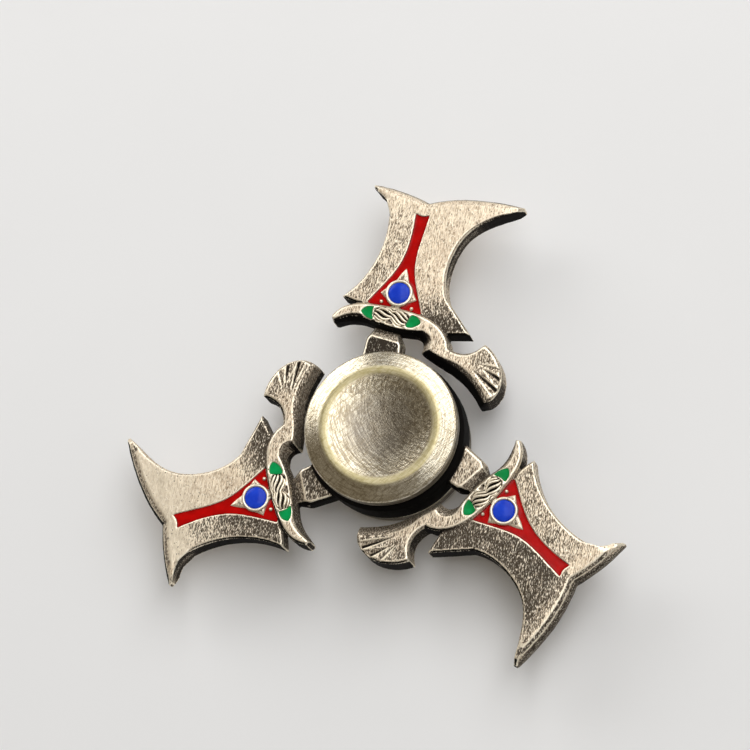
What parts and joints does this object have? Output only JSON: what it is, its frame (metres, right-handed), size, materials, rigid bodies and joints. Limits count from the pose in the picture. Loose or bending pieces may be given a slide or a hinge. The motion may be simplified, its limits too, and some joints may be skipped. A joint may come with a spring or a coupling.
{
  "type": "hand spinner",
  "caption": "Three-bladed cast hand spinner with enamelled axe-shaped arms, turning on a shielded ball bearing between two round finger caps.",
  "frame": {"origin": "centre of the bearing, on the spin axis and on the mid-plane of the blades", "axes": "+Z along the spin axis, out of the enamelled face; the gem of the first arm lies on +Y"},
  "size_m": [0.0735, 0.0693, 0.0138],
  "materials": {
    "casting_metal": "antiqued, brushed high spots",
    "cap_metal": "antiqued, turned",
    "bearing_steel": "ground",
    "ball_steel": "polished",
    "cage_metal": "stamped",
    "red_enamel": "gloss",
    "blue_enamel": "gloss",
    "green_enamel": "gloss"
  },
  "bodies": {
    "core": {"cap_top": "cap_metal", "cap_bottom": "cap_metal", "bearing_inner_ring": "bearing_steel"},
    "rotor": {"rotor_casting": "casting_metal", "bearing_outer_ring": "bearing_steel", "shield_top": "bearing_steel", "shield_bottom": "bearing_steel", "snap_ring_top": "bearing_steel", "snap_ring_bottom": "bearing_steel", "groove_enamel_1": "red_enamel", "groove_enamel_2": "red_enamel", "groove_enamel_3": "red_enamel", "gem_enamel_1": "blue_enamel", "gem_enamel_2": "blue_enamel", "gem_enamel_3": "blue_enamel", "leaf_enamel_1a": "green_enamel", "leaf_enamel_1b": "green_enamel", "leaf_enamel_2a": "green_enamel", "leaf_enamel_2b": "green_enamel", "leaf_enamel_3a": "green_enamel", "leaf_enamel_3b": "green_enamel"},
    "cage": {"bearing_cage": "cage_metal"},
    "ball_01_body": {"ball_01": "ball_steel"},
    "ball_02_body": {"ball_02": "ball_steel"},
    "ball_03_body": {"ball_03": "ball_steel"},
    "ball_04_body": {"ball_04": "ball_steel"},
    "ball_05_body": {"ball_05": "ball_steel"},
    "ball_06_body": {"ball_06": "ball_steel"},
    "ball_07_body": {"ball_07": "ball_steel"},
    "ball_08_body": {"ball_08": "ball_steel"},
    "ball_09_body": {"ball_09": "ball_steel"},
    "ball_10_body": {"ball_10": "ball_steel"}
  },
  "joints": [
    {"name": "rotor_spin", "type": "hinge", "parent": "core", "child": "rotor", "pos_m": [0, 0, 0], "axis": [0, 0, 1], "continuous": true},
    {"name": "cage_spin", "type": "hinge", "parent": "core", "child": "cage", "pos_m": [0, 0, 0], "axis": [0, 0, 1], "continuous": true},
    {"name": "ball_01_roll", "type": "hinge", "parent": "cage", "child": "ball_01_body", "pos_m": [0.00476, 0, 0], "axis": [0, 0, 1], "continuous": true},
    {"name": "ball_02_roll", "type": "hinge", "parent": "cage", "child": "ball_02_body", "pos_m": [0.00385, 0.0028, 0], "axis": [0, 0, 1], "continuous": true},
    {"name": "ball_03_roll", "type": "hinge", "parent": "cage", "child": "ball_03_body", "pos_m": [0.00147, 0.00453, 0], "axis": [0, 0, 1], "continuous": true},
    {"name": "ball_04_roll", "type": "hinge", "parent": "cage", "child": "ball_04_body", "pos_m": [-0.00147, 0.00453, 0], "axis": [0, 0, 1], "continuous": true},
    {"name": "ball_05_roll", "type": "hinge", "parent": "cage", "child": "ball_05_body", "pos_m": [-0.00385, 0.0028, 0], "axis": [0, 0, 1], "continuous": true},
    {"name": "ball_06_roll", "type": "hinge", "parent": "cage", "child": "ball_06_body", "pos_m": [-0.00476, 0, 0], "axis": [0, 0, 1], "continuous": true},
    {"name": "ball_07_roll", "type": "hinge", "parent": "cage", "child": "ball_07_body", "pos_m": [-0.00385, -0.0028, 0], "axis": [0, 0, 1], "continuous": true},
    {"name": "ball_08_roll", "type": "hinge", "parent": "cage", "child": "ball_08_body", "pos_m": [-0.00147, -0.00453, 0], "axis": [0, 0, 1], "continuous": true},
    {"name": "ball_09_roll", "type": "hinge", "parent": "cage", "child": "ball_09_body", "pos_m": [0.00147, -0.00453, 0], "axis": [0, 0, 1], "continuous": true},
    {"name": "ball_10_roll", "type": "hinge", "parent": "cage", "child": "ball_10_body", "pos_m": [0.00385, -0.0028, 0], "axis": [0, 0, 1], "continuous": true}
  ],
  "couplings": [
    {"joint": "cage_spin", "follows": "rotor_spin", "ratio": 0.58336},
    {"joint": "ball_01_roll", "follows": "rotor_spin", "ratio": 2.9157},
    {"joint": "ball_02_roll", "follows": "rotor_spin", "ratio": 2.9157},
    {"joint": "ball_03_roll", "follows": "rotor_spin", "ratio": 2.9157},
    {"joint": "ball_04_roll", "follows": "rotor_spin", "ratio": 2.9157},
    {"joint": "ball_05_roll", "follows": "rotor_spin", "ratio": 2.9157},
    {"joint": "ball_06_roll", "follows": "rotor_spin", "ratio": 2.9157},
    {"joint": "ball_07_roll", "follows": "rotor_spin", "ratio": 2.9157},
    {"joint": "ball_08_roll", "follows": "rotor_spin", "ratio": 2.9157},
    {"joint": "ball_09_roll", "follows": "rotor_spin", "ratio": 2.9157},
    {"joint": "ball_10_roll", "follows": "rotor_spin", "ratio": 2.9157}
  ]
}
